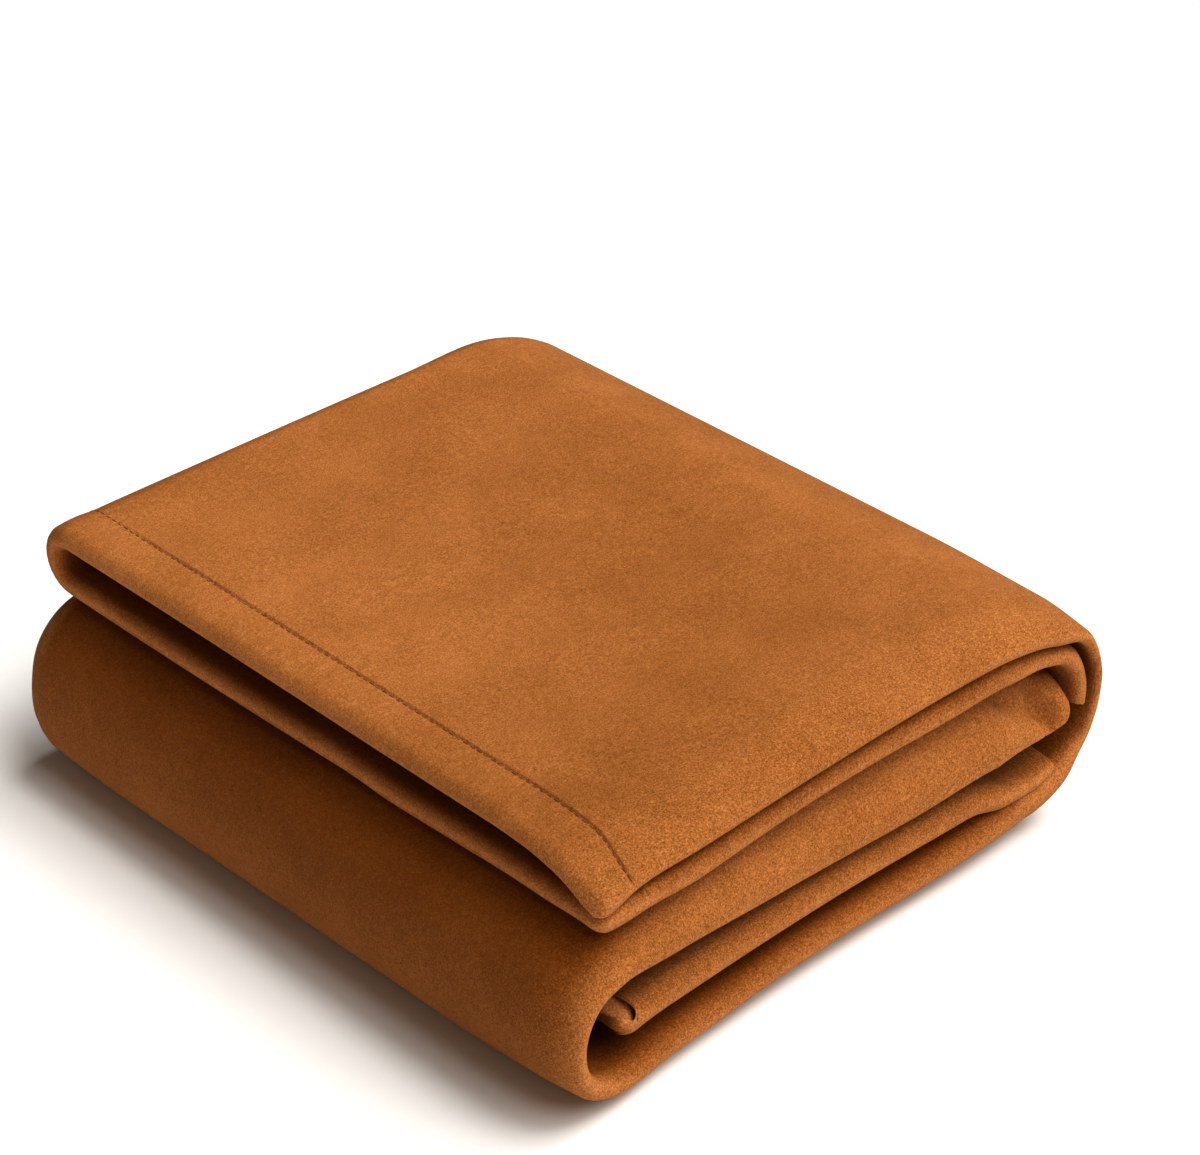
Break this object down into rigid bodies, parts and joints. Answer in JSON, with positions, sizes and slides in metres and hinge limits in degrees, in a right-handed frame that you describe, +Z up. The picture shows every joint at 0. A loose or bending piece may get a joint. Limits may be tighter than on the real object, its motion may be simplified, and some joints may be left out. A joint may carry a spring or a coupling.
{
  "type": "faux suede throw, folded",
  "caption": "Padded faux suede throw with a topstitched hem, doubled and rolled up in three lengths so that it lies flat as a thick folded stack.",
  "frame": {"origin": "on the floor, under the middle of the folded throw's box", "axes": "+Z up; +Y from the side with the layers' edges to the far fold; +X from the hem's end to the wrapped end"},
  "size_m": [0.3568, 0.3894, 0.1296],
  "materials": {
    "faux_suede": "brushed nap, matt, tan"
  },
  "bodies": {
    "root": {"throw": "faux_suede"}
  },
  "joints": []
}
